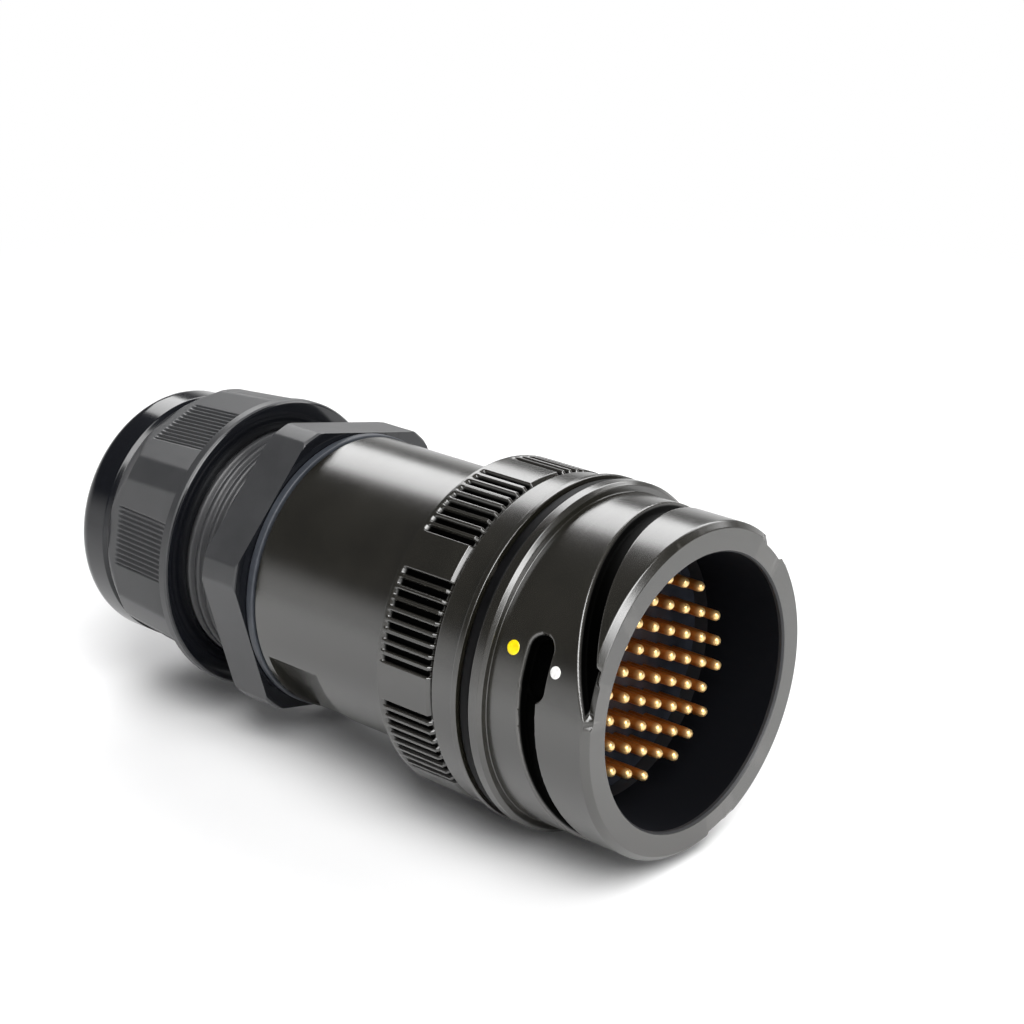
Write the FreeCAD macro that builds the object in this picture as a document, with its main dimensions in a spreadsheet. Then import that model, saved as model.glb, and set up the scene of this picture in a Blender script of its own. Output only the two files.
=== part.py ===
import FreeCAD, Part
import Sketcher
import math
import os

# In-line cable receptacle with reverse bayonet, 55 pin contacts and a cable gland.
# Every piece is drawn in a working frame whose x runs back from the mouth rim, y points to one side
# and z points up. Each piece's Placement then turns it round, so that +X leaves the open mouth and the
# origin is the centre of the barrel at the front face of the flange.

V = FreeCAD.Vector

os.makedirs("parts", exist_ok=True)
doc = FreeCAD.newDocument("cable_socket")


# Driving dimensions, in millimetres and degrees
SIZES = [
    ("barrel_radius", 25.4, "outside of the mating barrel"),
    ("barrel_length", 18.1, "mouth rim to the front face of the flange"),
    ("rim_bevel", 0.9, "rounded outer edge of the rim"),
    ("mouth_radius", 20.9, "inside of the mouth"),
    ("mouth_bevel", 0.35, "inner edge of the rim"),
    ("flange_radius", 26.9, "outside of the flange"),
    ("flange_width", 5.5, "length of the flange"),
    ("flange_bevel", 0.6, "edges of the flange"),
    ("seal_offset", 2.1, "flange face to the seal groove"),
    ("seal_width", 2.4, "width of the seal groove"),
    ("seal_depth", 1.6, "depth of the seal groove"),
    ("seal_sink", 0.45, "how far the seal lies below the flange"),
    ("collar_radius", 26.1, "collar behind the flange"),
    ("collar_width", 4.4, "length of that collar"),
    ("shell_thread_radius", 23.4, "rear thread of the shell"),
    ("shell_thread_length", 8.2, "length of the rear thread"),
    ("undercut", 0.6, "relief groove at the root of the thread"),
    ("insert_seat", 26.5, "mouth rim to the seat of the insert flange"),
    ("seat_radius", 21.9, "counterbore behind the seat"),
    ("groove_width", 2.8, "width of a bayonet groove"),
    ("groove_depth", 1.4, "depth of a bayonet groove"),
    ("groove_depth_end", 1.8, "depth of the pocket at its closed end"),
    ("groove_back", 11.1, "rim to the middle of the groove at its closed end"),
    ("groove_rise", 12.2, "how far the groove climbs towards the rim"),
    ("groove_sweep", 138.5, "turn of a whole groove, in degrees"),
    ("groove_power", 2.1, "how late the groove climbs"),
    ("groove_angle", 63.2, "closed end of the first groove, from the top"),
    ("groove_count", 3, "bayonet grooves"),
    ("pocket_width", 4.2, "width of the pocket"),
    ("pocket_sweep", 12.0, "length of the pocket's straight part, in degrees"),
    ("yellow_place", 15.0, "rim to the yellow dot"),
    ("yellow_angle", 65.3, "yellow dot, from the top"),
    ("yellow_radius", 1.2, "yellow dot"),
    ("white_place", 6.9, "rim to the white dot"),
    ("white_angle", 68.3, "white dot, from the top"),
    ("white_radius", 1.0, "white dot"),
    ("dot_depth", 0.3, "depth of the dots' recesses"),
    ("dot_gap", 0.02, "gap round a dot in its recess"),
    ("slip", 0.1, "gap round pieces that slide into place by hand"),
    ("thread_gap", 0.25, "gap between two threads"),
    ("part_gap", 0.1, "gap between faces of pieces that separate"),
    ("insert_face", 16.0, "mouth rim to the face of the insert"),
    ("insert_flange", 1.5, "length of the insert's flange"),
    ("boss_radius", 17.7, "rear boss of the insert"),
    ("retainer_length", 1.5, "length of the retaining ring"),
    ("retainer_wall", 3.4, "width of the retaining ring's face"),
    ("face_step", 0.5, "raised middle of the insert's face"),
    ("face_radius", 18.6, "radius of that raised middle"),
    ("pin_radius", 0.8, "contact pins"),
    ("pin_tip", 7.1, "mouth rim to the tips of the pins"),
    ("pin_point", 0.7, "length of a pin's rounded tip"),
    ("pin_flat", 0.35, "radius of the flat at a pin's tip"),
    ("pin_hole_gap", 0.05, "gap round a pin in the insert"),
    ("pin_pitch", 4.19, "distance between neighbouring pins"),
    ("pin_row_angle", 64.4, "direction of the rows, from the top"),
    ("pin_sides", 8, "flat sides that stand for a pin's round"),
    ("pin_tail", 9.0, "how far the contacts reach behind the insert"),
    ("back_radius", 22.2, "outside of the backshell"),
    ("back_end", 69.3, "mouth rim to the back of the backshell"),
    ("back_bore", 17.6, "bore of the backshell"),
    ("back_bevel", 0.5, "rear edge of the backshell"),
    ("spigot_length", 2.6, "spigot of the backshell inside the shell"),
    ("spigot_flange", 1.5, "thickness of the backshell's front flange"),
    ("spigot_flange_radius", 23.2, "outside of that flange"),
    ("o_ring_section", 1.2, "section of the O-ring on the spigot"),
    ("o_ring_setback", 0.5, "spigot's end to the O-ring's groove"),
    ("gland_thread_radius", 18.5, "entry thread of the gland"),
    ("gland_thread_length", 12.0, "length of the entry thread"),
    ("wrench_half", 20.6, "half the distance across the wrench flats"),
    ("wrench_back", 1.8, "backshell's end to the wrench flats"),
    ("wrench_length", 10.6, "length of the wrench flats"),
    ("wrench_angle", 131.0, "first wrench flat, from the top"),
    ("grip_radius", 26.2, "outside of the grip ring"),
    ("grip_length", 11.0, "length of the grip ring"),
    ("grip_front_bevel", 1.1, "front bevel of the grip ring"),
    ("grip_rear_bevel", 0.5, "rear bevel of the grip ring"),
    ("grip_lip", 1.3, "thickness of the lip that pulls the backshell"),
    ("grip_groove_width", 0.8, "width of one grip groove"),
    ("grip_groove_depth", 0.75, "depth of one grip groove"),
    ("grip_groove_stop", 0.9, "ring's rear face to the end of the grooves"),
    ("grip_groove_step", 3.65, "turn from one groove to the next, in degrees"),
    ("grip_groove_count", 9, "grooves in one group"),
    ("grip_group_count", 8, "groups of grooves"),
    ("grip_angle", 68.5, "middle of the first group, from the top"),
    ("washer_length", 1.4, "thickness of the gland washer"),
    ("washer_radius", 22.5, "outside of the gland washer"),
    ("hex_length", 7.4, "length of the gland's hexagon"),
    ("hex_half", 22.5, "half the distance across its flats"),
    ("hex_corner", 25.1, "radius of its cut corners"),
    ("hex_bevel", 0.4, "bevel at the ends of the corners"),
    ("hex_angle", 46.0, "first flat of the hexagon, from the top"),
    ("clamp_radius", 19.5, "clamp thread, over its crests"),
    ("clamp_length", 14.7, "length of the clamp thread"),
    ("gland_bore", 15.0, "wire passage of the gland body"),
    ("cage_bore", 17.2, "bore that takes the clamping cage"),
    ("cage_bore_depth", 13.4, "depth of that bore"),
    ("nut_gap", 9.0, "hexagon to the dome nut, as shown"),
    ("nut_collar_radius", 24.2, "round collar of the dome nut"),
    ("nut_collar_length", 1.7, "length of that collar"),
    ("nut_half", 21.9, "half the distance across the nut's flats, at the collar"),
    ("nut_draft", 1.2, "how much the flats close in towards the lip"),
    ("nut_facet_end", 18.0, "nut's front face to the end of its flats"),
    ("nut_taper", 1.1, "how much the cut corners close in towards the cone"),
    ("nut_cone_length", 3.6, "cone that ends the corners"),
    ("nut_cone_radius", 21.0, "radius at the end of that cone"),
    ("nut_waist", 20.2, "radius of the waist before the lip"),
    ("nut_waist_length", 0.8, "length of the waist"),
    ("lip_radius", 20.9, "outside of the rounded lip"),
    ("lip_round", 4.2, "rounding of the lip"),
    ("lip_inner_round", 1.6, "rounding at the cable hole"),
    ("nut_length", 26.3, "length of the dome nut"),
    ("cable_hole", 13.4, "radius of the cable hole"),
    ("nut_bore_length", 12.2, "length of the nut's thread"),
    ("nut_cone_front", 17.6, "inner cone of the nut, front radius"),
    ("nut_cone_back", 15.2, "inner cone of the nut, back radius"),
    ("nut_cone_depth", 8.6, "length of the inner cone"),
    ("nut_angle", 20.0, "first flat of the nut, from the top"),
    ("cage_radius", 16.9, "outside of the clamping cage"),
    ("cage_length", 20.0, "length of the clamping cage"),
    ("cage_wall", 1.6, "wall of the clamping cage"),
    ("cage_taper", 2.2, "how much the fingers close in"),
    ("cage_taper_length", 8.0, "length of the taper"),
    ("cage_slot", 1.6, "width of the slots between the fingers"),
    ("cage_slot_length", 11.0, "length of the slots"),
    ("cage_fingers", 8, "fingers of the cage"),
    ("cage_front", 1.3, "front of the cage, ahead of the nut's front face"),
    ("seal_tube_radius", 12.4, "outside of the cable seal, in the fingers"),
    ("seal_bore", 10.6, "bore of the cable seal"),
    ("seal_setback", 1.0, "ends of the seal, from the ends of the cage"),
]

sheet = doc.addObject("Spreadsheet::Sheet", "Sizes")
for line, (alias, value, note) in enumerate(SIZES, start=1):
    sheet.set("A%d" % line, note)
    sheet.set("B%d" % line, str(value))
    sheet.setAlias("B%d" % line, alias)
doc.recompute()


# A size that knows both its value and the expression that binds it to the sheet
class Size:
    def __init__(self, text, value):
        self.text = text
        self.value = value

    def combine(self, other, sign, value):
        other_text = other.text if isinstance(other, Size) else repr(other)
        return Size("(%s %s %s)" % (self.text, sign, other_text), value)

    def __add__(self, other):
        return self.combine(other, "+", self.value + plain(other))

    def __sub__(self, other):
        return self.combine(other, "-", self.value - plain(other))

    def __mul__(self, other):
        return self.combine(other, "*", self.value * plain(other))

    def __truediv__(self, other):
        return self.combine(other, "/", self.value / plain(other))


def plain(number):
    return number.value if isinstance(number, Size) else number


def size(alias):
    return Size("Sizes.%s" % alias, float(getattr(sheet, alias)))


def count(alias):
    return int(round(float(getattr(sheet, alias))))


ZERO = Size("0", 0.0)


# Helpers that build features

def origin_feature(body, role):
    for feature in body.Origin.OriginFeatures:
        if feature.Role == role:
            return feature


def place(piece, turn=0.0):
    turned = FreeCAD.Rotation(V(0, 0, 1), 180).multiply(FreeCAD.Rotation(V(1, 0, 0), turn))
    piece.Placement = FreeCAD.Placement(V(size("barrel_length").value, 0, 0), turned)


def arc_between(start, end, centre):
    """The shorter arc, anticlockwise, and whether it runs from end to start."""
    first = math.atan2(start.y - centre.y, start.x - centre.x)
    last = math.atan2(end.y - centre.y, end.x - centre.x)
    backwards = (last - first) % (2 * math.pi) > math.pi
    if backwards:
        first, last = last, first
    circle = Part.Circle(centre, V(0, 0, 1), centre.distanceToPoint(start))
    return Part.ArcOfCircle(circle, first, last), backwards


def outline(body, name, corners, rounds={}):
    """Closed sketch on the XY plane through corners (back, out).
    rounds gives the centre of the arc that leaves a corner; the other sides are straight."""
    sketch = body.newObject("Sketcher::SketchObject", name)
    sketch.AttachmentSupport = (origin_feature(body, "XY_Plane"), [""])
    sketch.MapMode = "FlatFace"
    points = [V(back.value, out.value, 0) for back, out in corners]
    total = len(points)
    ends = []
    for index in range(total):
        start, end = points[index], points[(index + 1) % total]
        backwards = False
        if index in rounds:
            centre = V(rounds[index][0].value, rounds[index][1].value, 0)
            arc, backwards = arc_between(start, end, centre)
            sketch.addGeometry(arc, False)
        else:
            sketch.addGeometry(Part.LineSegment(start, end), False)
        ends.append((2, 1) if backwards else (1, 2))
    for index in range(total):
        following = (index + 1) % total
        link = Sketcher.Constraint("Coincident", index, ends[index][1], following, ends[following][0])
        sketch.addConstraint(link)
    for index, (back, out) in enumerate(corners):
        bind(sketch, index, ends[index][0], "x", back, "c%d" % index)
        bind(sketch, index, ends[index][0], "y", out, "c%d" % index)
    for index, centre in rounds.items():
        bind(sketch, index, 3, "x", centre[0], "r%d" % index)
    return sketch


def bind(sketch, index, point, axis, value, tag):
    """Distance of a point from the other axis, bound to the sheet; zero puts the point on that axis."""
    if value.text == "0":
        sketch.addConstraint(Sketcher.Constraint("PointOnObject", index, point, -2 if axis == "x" else -1))
        return
    kind = "Distance" + axis.upper()
    number = sketch.addConstraint(Sketcher.Constraint(kind, -1, 1, index, point, value.value))
    sketch.renameConstraint(number, tag + axis)
    sketch.setExpression("Constraints.%s%s" % (tag, axis), value.text)


def turned_body(name, corners, rounds={}):
    body = doc.addObject("PartDesign::Body", name)
    sketch = outline(body, name + "_profile", corners, rounds)
    revolution = body.newObject("PartDesign::Revolution", name + "_turned")
    revolution.Profile = sketch
    revolution.ReferenceAxis = (sketch, ["H_Axis"])
    revolution.Angle = 360
    sketch.Visibility = False
    return body


def cut_slot(body, name, corners, width):
    """Pocket of the given width, evenly to both sides of the XY plane."""
    sketch = outline(body, name + "_outline", corners)
    pocket = body.newObject("PartDesign::Pocket", name)
    pocket.Profile = sketch
    pocket.Midplane = True
    pocket.Type = 0
    pocket.Length = width.value
    pocket.setExpression("Length", width.text)
    sketch.Visibility = False
    return pocket


def ring_of(body, feature, name, number):
    pattern = body.newObject("PartDesign::PolarPattern", name)
    pattern.Originals = [feature]
    pattern.Axis = (origin_feature(body, "X_Axis"), [""])
    pattern.Angle = 360
    pattern.Occurrences = number
    body.Tip = pattern
    return pattern


def from_top(angle, place_back, radius):
    """Point of the working frame at an angle from the top, towards +y."""
    turn = math.radians(angle)
    return V(place_back, radius * math.sin(turn), radius * math.cos(turn))


def solid_of(name, shape):
    feature = doc.addObject("Part::Feature", name)
    feature.Shape = shape
    return feature


pieces = []


def keep(piece, label, turn=0.0):
    piece.Label = label
    place(piece, turn)
    pieces.append(piece)
    return piece


# Places along the axis that several pieces share
flange_front = size("barrel_length")
flange_back = flange_front + size("flange_width")
collar_back = flange_back + size("collar_width")
shell_back = collar_back + size("shell_thread_length")
insert_seat = size("insert_seat")
retainer_front = insert_seat + size("insert_flange")
boss_back = retainer_front + size("retainer_length")
back_front = shell_back + size("part_gap")
flange_lip = back_front + size("spigot_flange")
spigot_front = back_front - size("spigot_length")
grip_front = collar_back + size("part_gap")
grip_back = grip_front + size("grip_length")
back_end = size("back_end")
washer_back = back_end + size("washer_length")
hex_back = washer_back + size("hex_length")
clamp_back = hex_back + size("clamp_length")
nut_front = hex_back + size("nut_gap")
nut_facet_end = nut_front + size("nut_facet_end")
nut_back = nut_front + size("nut_length")
cage_front = nut_front - size("cage_front")
cage_back = cage_front + size("cage_length")


# Receptacle shell: barrel, flange with seal groove, collar and rear thread, in one turned piece
def shell_blank():
    barrel = size("barrel_radius")
    rim = size("rim_bevel")
    flange = size("flange_radius")
    bevel = size("flange_bevel")
    groove_front = flange_front + size("seal_offset")
    groove_back = groove_front + size("seal_width")
    groove_floor = flange - size("seal_depth")
    thread = size("shell_thread_radius")
    undercut = size("undercut")
    return turned_body("shell_blank", [
        (ZERO, size("mouth_radius") + size("mouth_bevel")),
        (ZERO, barrel - rim),
        (rim, barrel),
        (flange_front, barrel),
        (flange_front, flange - bevel),
        (flange_front + bevel, flange),
        (groove_front, flange),
        (groove_front, groove_floor),
        (groove_back, groove_floor),
        (groove_back, flange),
        (flange_back, flange),
        (flange_back, size("collar_radius")),
        (collar_back, size("collar_radius")),
        (collar_back, thread - undercut),
        (collar_back + undercut * 2, thread),
        (shell_back, thread),
        (shell_back, size("seat_radius")),
        (insert_seat, size("seat_radius")),
        (insert_seat, size("mouth_radius")),
        (size("mouth_bevel"), size("mouth_radius")),
    ])


# Middle of a bayonet groove: nearly level at its closed end, then climbing to the rim
def groove_middle(turn):
    share = max(turn, 0.0) / size("groove_sweep").value
    climb = size("groove_rise").value * share ** size("groove_power").value
    return size("groove_back").value - climb


def groove_strip(start_turn, end_turn, width, depth, middle, steps):
    """Solid strip that follows the barrel: four curves through the strip's edges, ruled together."""
    barrel = size("barrel_radius").value
    angle = size("groove_angle").value
    levels = (barrel - depth, barrel + depth)
    edges = []
    for level in levels:
        for side in (-0.5, 0.5):
            points = []
            for step in range(steps + 1):
                turn = start_turn + (end_turn - start_turn) * step / steps
                points.append(from_top(angle + turn, middle(turn) + side * width, level))
            curve = Part.BSplineCurve()
            curve.interpolate(points)
            edges.append(curve.toShape())
    low_front, low_back, high_front, high_back = edges
    faces = [
        Part.makeRuledSurface(low_front, low_back),
        Part.makeRuledSurface(high_front, high_back),
        Part.makeRuledSurface(low_front, high_front),
        Part.makeRuledSurface(low_back, high_back),
    ]
    for end in (0, -1):
        corners = [edge.Vertexes[end].Point for edge in (low_front, low_back, high_back, high_front)]
        faces.append(Part.Face(Part.makePolygon(corners + corners[:1])))
    strip = Part.makeSolid(Part.makeShell(faces))
    strip.fix(1e-6, 1e-6, 1e-6)
    if strip.Volume < 0:
        strip.reverse()
    return strip


def radial_pin(angle, place_back, radius, inner, outer):
    direction = from_top(angle, 0.0, 1.0)
    return Part.makeCylinder(radius, outer - inner, from_top(angle, place_back, inner), direction)


def groove_tools():
    barrel = size("barrel_radius").value
    sweep = size("groove_sweep").value
    pocket = size("pocket_width").value
    pocket_turn = size("pocket_sweep").value
    depth = size("groove_depth").value
    depth_end = size("groove_depth_end").value
    pocket_middle = size("groove_back").value + (size("groove_width").value - pocket) / 2
    tools = [
        groove_strip(pocket_turn / 2, sweep + 8, size("groove_width").value, depth, groove_middle, 24),
        groove_strip(0.0, pocket_turn, pocket, depth_end, lambda turn: pocket_middle, 6),
    ]
    for turn in (0.0, pocket_turn):
        angle = size("groove_angle").value + turn
        tools.append(radial_pin(angle, pocket_middle, pocket / 2, barrel - depth_end, barrel + depth_end))
    one = tools[0].fuse(tools[1:])
    around = []
    for number in range(count("groove_count")):
        copy = one.copy()
        copy.rotate(V(0, 0, 0), V(1, 0, 0), 360.0 * number / count("groove_count"))
        around.append(copy)
    return around


def dot_recess(place_back, angle, radius, gap):
    barrel = size("barrel_radius").value
    return radial_pin(angle, place_back, radius + gap, barrel - size("dot_depth").value, barrel + 1.0)


DOTS = ("yellow", "white")


def dot_sizes(colour):
    return [size("%s_%s" % (colour, word)).value for word in ("place", "angle", "radius")]


blank = shell_blank()
doc.recompute()
gap = size("dot_gap").value
tools = groove_tools() + [dot_recess(*dot_sizes(colour), gap) for colour in DOTS]
shell_cuts = solid_of("shell_cuts", Part.makeCompound(tools))
shell = doc.addObject("Part::Cut", "receptacle_shell")
shell.Base = blank
shell.Tool = shell_cuts
keep(shell, "receptacle_shell")


# Index dots: discs of paint, flush with the barrel
def dot(colour):
    barrel = size("barrel_radius").value
    disc = dot_recess(*dot_sizes(colour), 0.0)
    drum = Part.makeCylinder(barrel, flange_front.value, V(0, 0, 0), V(1, 0, 0))
    return keep(solid_of(colour + "_dot", disc.common(drum)), colour + "_dot")


for colour in DOTS:
    dot(colour)


# Seal ring in the flange's groove
def flange_seal():
    front = flange_front + size("seal_offset") + size("slip")
    back = front + size("seal_width") - size("slip") * 2
    floor = size("flange_radius") - size("seal_depth") + size("slip")
    top = size("flange_radius") - size("seal_sink")
    return turned_body("seal_body", [(front, floor), (front, top), (back, top), (back, floor)])


keep(flange_seal(), "flange_seal_ring")


# Contact lattice: rows of pins at even distances from the middle one
def row_places(row):
    """Places along one row, as multiples of the pitch; the lattice keeps what lies inside its circle."""
    reach = math.sqrt(13.0) + 0.01
    offset = 0.5 if row % 2 else 0.0
    across = row * math.sqrt(3.0) / 2.0
    places = []
    for step in range(-4, 5):
        along = step + offset
        if math.hypot(along, across) <= reach:
            places.append(along)
    return places, across


def contact_centres(row):
    pitch = size("pin_pitch").value
    angle = size("pin_row_angle").value
    along_row = from_top(angle, 0.0, 1.0)
    across_rows = from_top(angle - 90.0, 0.0, 1.0)
    places, across = row_places(row)
    return [along_row * (along * pitch) + across_rows * (across * pitch) for along in places]


ROWS = range(4, -5, -1)


def ring_wire(back, radius):
    """The flat-sided round that stands for a pin's section."""
    sides = count("pin_sides")
    points = []
    for side in range(sides + 1):
        points.append(from_top(360.0 * side / sides, back, radius))
    return Part.makePolygon(points)


def bores(front, back, radius):
    hole = Part.makeLoft([ring_wire(front, radius), ring_wire(back, radius)], True, True)
    return Part.makeCompound([hole.translated(centre) for row in ROWS for centre in contact_centres(row)])


def insert_blank():
    face = size("insert_face")
    body = size("mouth_radius") - size("slip")
    step = size("face_step")
    return turned_body("insert_blank", [
        (face, ZERO),
        (face, size("face_radius")),
        (face + step, size("face_radius") + step),
        (face + step, body),
        (insert_seat + size("slip"), body),
        (insert_seat + size("slip"), size("seat_radius") - size("slip")),
        (retainer_front, size("seat_radius") - size("slip")),
        (retainer_front, size("boss_radius")),
        (boss_back, size("boss_radius")),
        (boss_back, ZERO),
    ])


def bored(name, blank_body, front, back, radius):
    tool = solid_of(name + "_bores", bores(front.value - 1.0, back.value + 1.0, radius))
    cut = doc.addObject("Part::Cut", name)
    cut.Base = blank_body
    cut.Tool = tool
    return cut


hole_gap = size("pin_hole_gap").value
pin_hole = size("pin_radius").value + hole_gap
insert = bored("contact_insert", insert_blank(), size("insert_face"), boss_back, pin_hole)
keep(insert, "contact_insert")


def retainer():
    outer = size("seat_radius") - size("slip")
    return turned_body("retainer_body", [
        (retainer_front, outer - size("retainer_wall")),
        (retainer_front, outer),
        (boss_back, outer),
        (boss_back, outer - size("retainer_wall")),
    ])


keep(retainer(), "insert_retaining_ring")


# One contact: a pin with a tapered tip that runs through the insert to the wires
def contact():
    tip = size("pin_tip").value
    rings = [
        ring_wire(tip, size("pin_flat").value),
        ring_wire(tip + size("pin_point").value, size("pin_radius").value),
        ring_wire(boss_back.value + size("pin_tail").value, size("pin_radius").value),
    ]
    return Part.makeLoft(rings, True, True)


one_contact = contact()
for number, row in enumerate(ROWS, start=1):
    shape = Part.makeCompound([one_contact.translated(centre) for centre in contact_centres(row)])
    label = "contact_row_%d" % number
    keep(solid_of(label, shape), label)


# Backshell: spigot with O-ring groove, flange held by the grip ring, plain tube with wrench flats
def backshell():
    spigot = size("seat_radius") - size("slip") * 3
    section = size("o_ring_section")
    groove_front = spigot_front + size("o_ring_setback")
    groove_floor = spigot - section * 0.8
    outside = size("back_radius")
    thread_bore = size("gland_thread_radius") + size("slip")
    thread_front = back_end - size("gland_thread_length")
    body = turned_body("backshell", [
        (spigot_front, size("back_bore")),
        (spigot_front, spigot),
        (groove_front, spigot),
        (groove_front, groove_floor),
        (groove_front + section, groove_floor),
        (groove_front + section, spigot),
        (back_front, spigot),
        (back_front, size("spigot_flange_radius")),
        (flange_lip, size("spigot_flange_radius")),
        (flange_lip, outside),
        (back_end - size("back_bevel"), outside),
        (back_end, outside - size("back_bevel")),
        (back_end, thread_bore),
        (thread_front, thread_bore),
        (thread_front, size("back_bore")),
    ])
    flat_back = back_end - size("wrench_back")
    flat_front = flat_back - size("wrench_length")
    flat = cut_slot(body, "wrench_flat", [
        (flat_front, size("wrench_half")),
        (flat_back, size("wrench_half")),
        (flat_back, outside * 1.2),
        (flat_front, outside * 1.2),
    ], outside * 2)
    ring_of(body, flat, "wrench_flats", 2)
    return body


keep(backshell(), "backshell", 90.0 - size("wrench_angle").value)


def back_o_ring():
    section = size("o_ring_section")
    spigot = size("seat_radius") - size("slip") * 3
    edge = size("slip") * 0.5
    front = spigot_front + size("o_ring_setback") + edge
    back = front + section - edge * 2
    floor = spigot - section * 0.8 + edge
    top = size("seat_radius") - size("slip")
    return turned_body("o_ring_body", [(front, floor), (front, top), (back, top), (back, floor)])


keep(back_o_ring(), "backshell_o_ring")


# Grip ring: threaded inside, with a lip behind the backshell's flange and groups of grooves outside
def grip_ring():
    outer = size("grip_radius")
    front_bevel = size("grip_front_bevel")
    rear_bevel = size("grip_rear_bevel")
    bore = size("shell_thread_radius") + size("thread_gap")
    lip_bore = size("back_radius") + size("thread_gap")
    lip_front = grip_back - size("grip_lip")
    body = turned_body("grip_ring", [
        (grip_front, bore + rear_bevel),
        (grip_front, outer - front_bevel),
        (grip_front + front_bevel * 0.8, outer),
        (grip_back - rear_bevel, outer),
        (grip_back, outer - rear_bevel),
        (grip_back, lip_bore),
        (lip_front, lip_bore),
        (lip_front, bore),
        (grip_front + rear_bevel, bore),
    ])
    floor = outer - size("grip_groove_depth")
    end = grip_back - size("grip_groove_stop")
    groove = cut_slot(body, "grip_groove", [
        (grip_front - size("grip_rear_bevel"), floor),
        (end - size("grip_groove_depth"), floor),
        (end, outer + size("grip_rear_bevel")),
        (grip_front - size("grip_rear_bevel"), outer + size("grip_rear_bevel")),
    ], size("grip_groove_width"))
    group = body.newObject("PartDesign::PolarPattern", "grip_group")
    group.Axis = (origin_feature(body, "X_Axis"), [""])
    steps = count("grip_groove_count") - 1
    group.Angle = size("grip_groove_step").value * steps
    group.Occurrences = count("grip_groove_count")
    groups = body.newObject("PartDesign::PolarPattern", "grip_groups")
    groups.Axis = (origin_feature(body, "X_Axis"), [""])
    groups.Angle = 360
    groups.Occurrences = count("grip_group_count")
    both = body.newObject("PartDesign::MultiTransform", "grip_grooves")
    both.Originals = [groove]
    both.Transformations = [group, groups]
    body.Tip = both
    return body


half_group = size("grip_groove_step").value * (count("grip_groove_count") - 1) / 2.0
keep(grip_ring(), "grip_ring", 90.0 - half_group - size("grip_angle").value)


def gland_washer():
    bore = size("gland_thread_radius") + size("slip")
    outer = size("washer_radius")
    return turned_body("gland_washer", [(back_end, bore), (back_end, outer), (washer_back, outer), (washer_back, bore)])


keep(gland_washer(), "gland_washer")


# Gland body: entry thread, hexagon with cut corners, clamp thread and the bore for the cage
def gland_body():
    entry = size("gland_thread_radius")
    corner = size("hex_corner")
    bevel = size("hex_bevel")
    crest = size("clamp_radius")
    entry_front = washer_back - size("gland_thread_length")
    cage_floor = clamp_back - size("cage_bore_depth")
    corners = [
        (entry_front, size("gland_bore")),
        (entry_front, entry),
        (washer_back, entry),
        (washer_back, corner - bevel),
        (washer_back + bevel, corner),
        (hex_back - bevel, corner),
        (hex_back, corner - bevel),
        (hex_back, crest),
        (clamp_back, crest),
        (clamp_back, size("cage_bore")),
        (cage_floor, size("cage_bore")),
        (cage_floor, size("gland_bore")),
    ]
    body = turned_body("gland_body", corners)
    flat = cut_slot(body, "hex_flat", [
        (washer_back - size("slip"), size("hex_half")),
        (hex_back + size("slip"), size("hex_half")),
        (hex_back + size("slip"), corner * 1.2),
        (washer_back - size("slip"), corner * 1.2),
    ], corner * 2)
    ring_of(body, flat, "hex_flats", 6)
    return body


keep(gland_body(), "gland_body", 90.0 - size("hex_angle").value - 60.0)


# Dome nut: round collar, six drafted flats, and a rounded lip round the cable hole
def dome_nut():
    collar = size("nut_collar_radius")
    bore = size("clamp_radius") + size("thread_gap")
    lip = size("lip_radius")
    lip_round = size("lip_round")
    inner_round = size("lip_inner_round")
    hole = size("cable_hole")
    cone_start = nut_facet_end - size("nut_cone_length")
    waist_back = nut_facet_end + size("nut_waist_length")
    bore_back = nut_front + size("nut_bore_length")
    cone_back = bore_back + size("nut_cone_depth")
    body = turned_body("dome_nut", [
        (nut_front, bore),
        (nut_front, collar - size("slip") * 4),
        (nut_front + size("slip") * 4, collar),
        (cone_start, collar - size("nut_taper")),
        (nut_facet_end, size("nut_cone_radius")),
        (nut_facet_end, size("nut_waist")),
        (waist_back, size("nut_waist")),
        (waist_back + size("slip") * 6, lip),
        (nut_back - lip_round, lip),
        (nut_back, lip - lip_round),
        (nut_back, hole + inner_round),
        (nut_back - inner_round, hole),
        (cone_back, hole),
        (cone_back, size("nut_cone_back")),
        (bore_back, size("nut_cone_front")),
        (bore_back, bore),
    ], {
        8: (nut_back - lip_round, lip - lip_round),
        10: (nut_back - inner_round, hole + inner_round),
    })
    half = size("nut_half")
    flat_front = nut_front + size("nut_collar_length")
    flat = cut_slot(body, "nut_flat", [
        (flat_front, half),
        (nut_facet_end, half - size("nut_draft")),
        (nut_facet_end, collar * 1.2),
        (flat_front, collar * 1.2),
    ], collar * 2)
    ring_of(body, flat, "nut_flats", 6)
    return body


keep(dome_nut(), "dome_nut", 90.0 - size("nut_angle").value - 60.0)


# Clamping cage: a tube whose slotted fingers close in where the nut's cone presses them
def clamping_cage():
    outer = size("cage_radius")
    wall = size("cage_wall")
    taper_front = cage_back - size("cage_taper_length")
    tip = outer - size("cage_taper")
    body = turned_body("clamping_cage", [
        (cage_front, outer - wall),
        (cage_front, outer),
        (taper_front, outer),
        (cage_back, tip),
        (cage_back, size("seal_tube_radius") + size("slip")),
        (taper_front, outer - wall),
    ])
    slot_front = cage_back - size("cage_slot_length")
    slot = cut_slot(body, "finger_slot", [
        (slot_front, size("seal_tube_radius") * 0.5),
        (cage_back + wall, size("seal_tube_radius") * 0.5),
        (cage_back + wall, outer * 1.2),
        (slot_front, outer * 1.2),
    ], size("cage_slot"))
    ring_of(body, slot, "finger_slots", count("cage_fingers"))
    return body


keep(clamping_cage(), "clamping_cage")


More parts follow.
